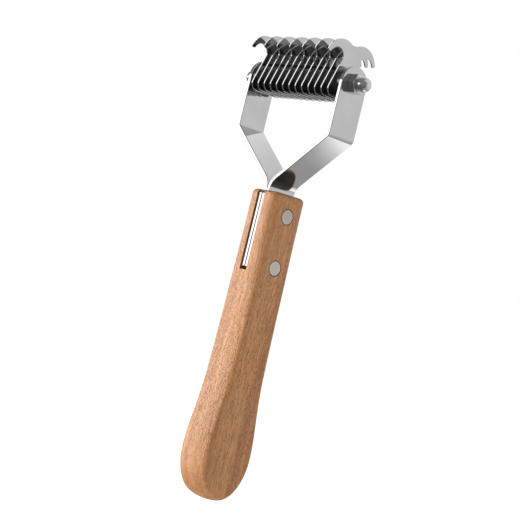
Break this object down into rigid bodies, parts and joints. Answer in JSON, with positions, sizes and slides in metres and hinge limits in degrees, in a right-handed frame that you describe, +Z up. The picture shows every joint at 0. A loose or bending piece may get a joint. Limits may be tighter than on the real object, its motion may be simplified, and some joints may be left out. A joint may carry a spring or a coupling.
{
  "type": "deshedding tool",
  "caption": "Pet deshedding rake: hooked steel blades stacked on an axle in a bent strip fork, riveted into a slotted wooden handle.",
  "frame": {"origin": "on the handle's centre line, level with the lowest point of the butt", "axes": "+Z up the handle towards the blades, +X along the blade axle, -Y towards the coarse teeth"},
  "size_m": [0.07, 0.0254, 0.1823],
  "materials": {
    "beech": "satin oiled beech",
    "strip_steel": "polished stainless strip",
    "blade_steel": "polished stainless blade",
    "ring_steel": "turned steel",
    "nut_chrome": "nickel-plated, bright",
    "rivet_aluminium": "satin, ground flush"
  },
  "bodies": {
    "frame": {"handle": "beech", "handle_rivet_lower": "rivet_aluminium", "handle_rivet_upper": "rivet_aluminium", "fork_arm_left": "strip_steel", "fork_arm_right": "strip_steel"},
    "blade_pack": {"axle_rod": "ring_steel", "double_hook_blade_01": "blade_steel", "single_hook_blade_02": "blade_steel", "double_hook_blade_03": "blade_steel", "single_hook_blade_04": "blade_steel", "double_hook_blade_05": "blade_steel", "single_hook_blade_06": "blade_steel", "double_hook_blade_07": "blade_steel", "single_hook_blade_08": "blade_steel", "double_hook_blade_09": "blade_steel", "single_hook_blade_10": "blade_steel", "double_hook_blade_11": "blade_steel", "single_hook_blade_12": "blade_steel", "double_hook_blade_13": "blade_steel", "spacer_ring_01": "ring_steel", "spacer_ring_02": "ring_steel", "spacer_ring_03": "ring_steel", "spacer_ring_04": "ring_steel", "spacer_ring_05": "ring_steel", "spacer_ring_06": "ring_steel", "spacer_ring_07": "ring_steel", "spacer_ring_08": "ring_steel", "spacer_ring_09": "ring_steel", "spacer_ring_10": "ring_steel", "spacer_ring_11": "ring_steel", "spacer_ring_12": "ring_steel", "end_ring_left": "ring_steel", "end_ring_right": "ring_steel"},
    "cap_nut_left": {"cap_nut_left": "nut_chrome"},
    "cap_nut_right": {"cap_nut_right": "nut_chrome"}
  },
  "joints": [
    {"name": "pack_turn", "type": "hinge", "parent": "frame", "child": "blade_pack", "pos_m": [0, 0, 0.1665], "axis": [1, 0, 0], "continuous": true},
    {"name": "left_nut_turn", "type": "hinge", "parent": "blade_pack", "child": "cap_nut_left", "pos_m": [-0.03, 0, 0.1665], "axis": [1, 0, 0], "continuous": true},
    {"name": "right_nut_turn", "type": "hinge", "parent": "blade_pack", "child": "cap_nut_right", "pos_m": [0.03, 0, 0.1665], "axis": [1, 0, 0], "continuous": true}
  ]
}
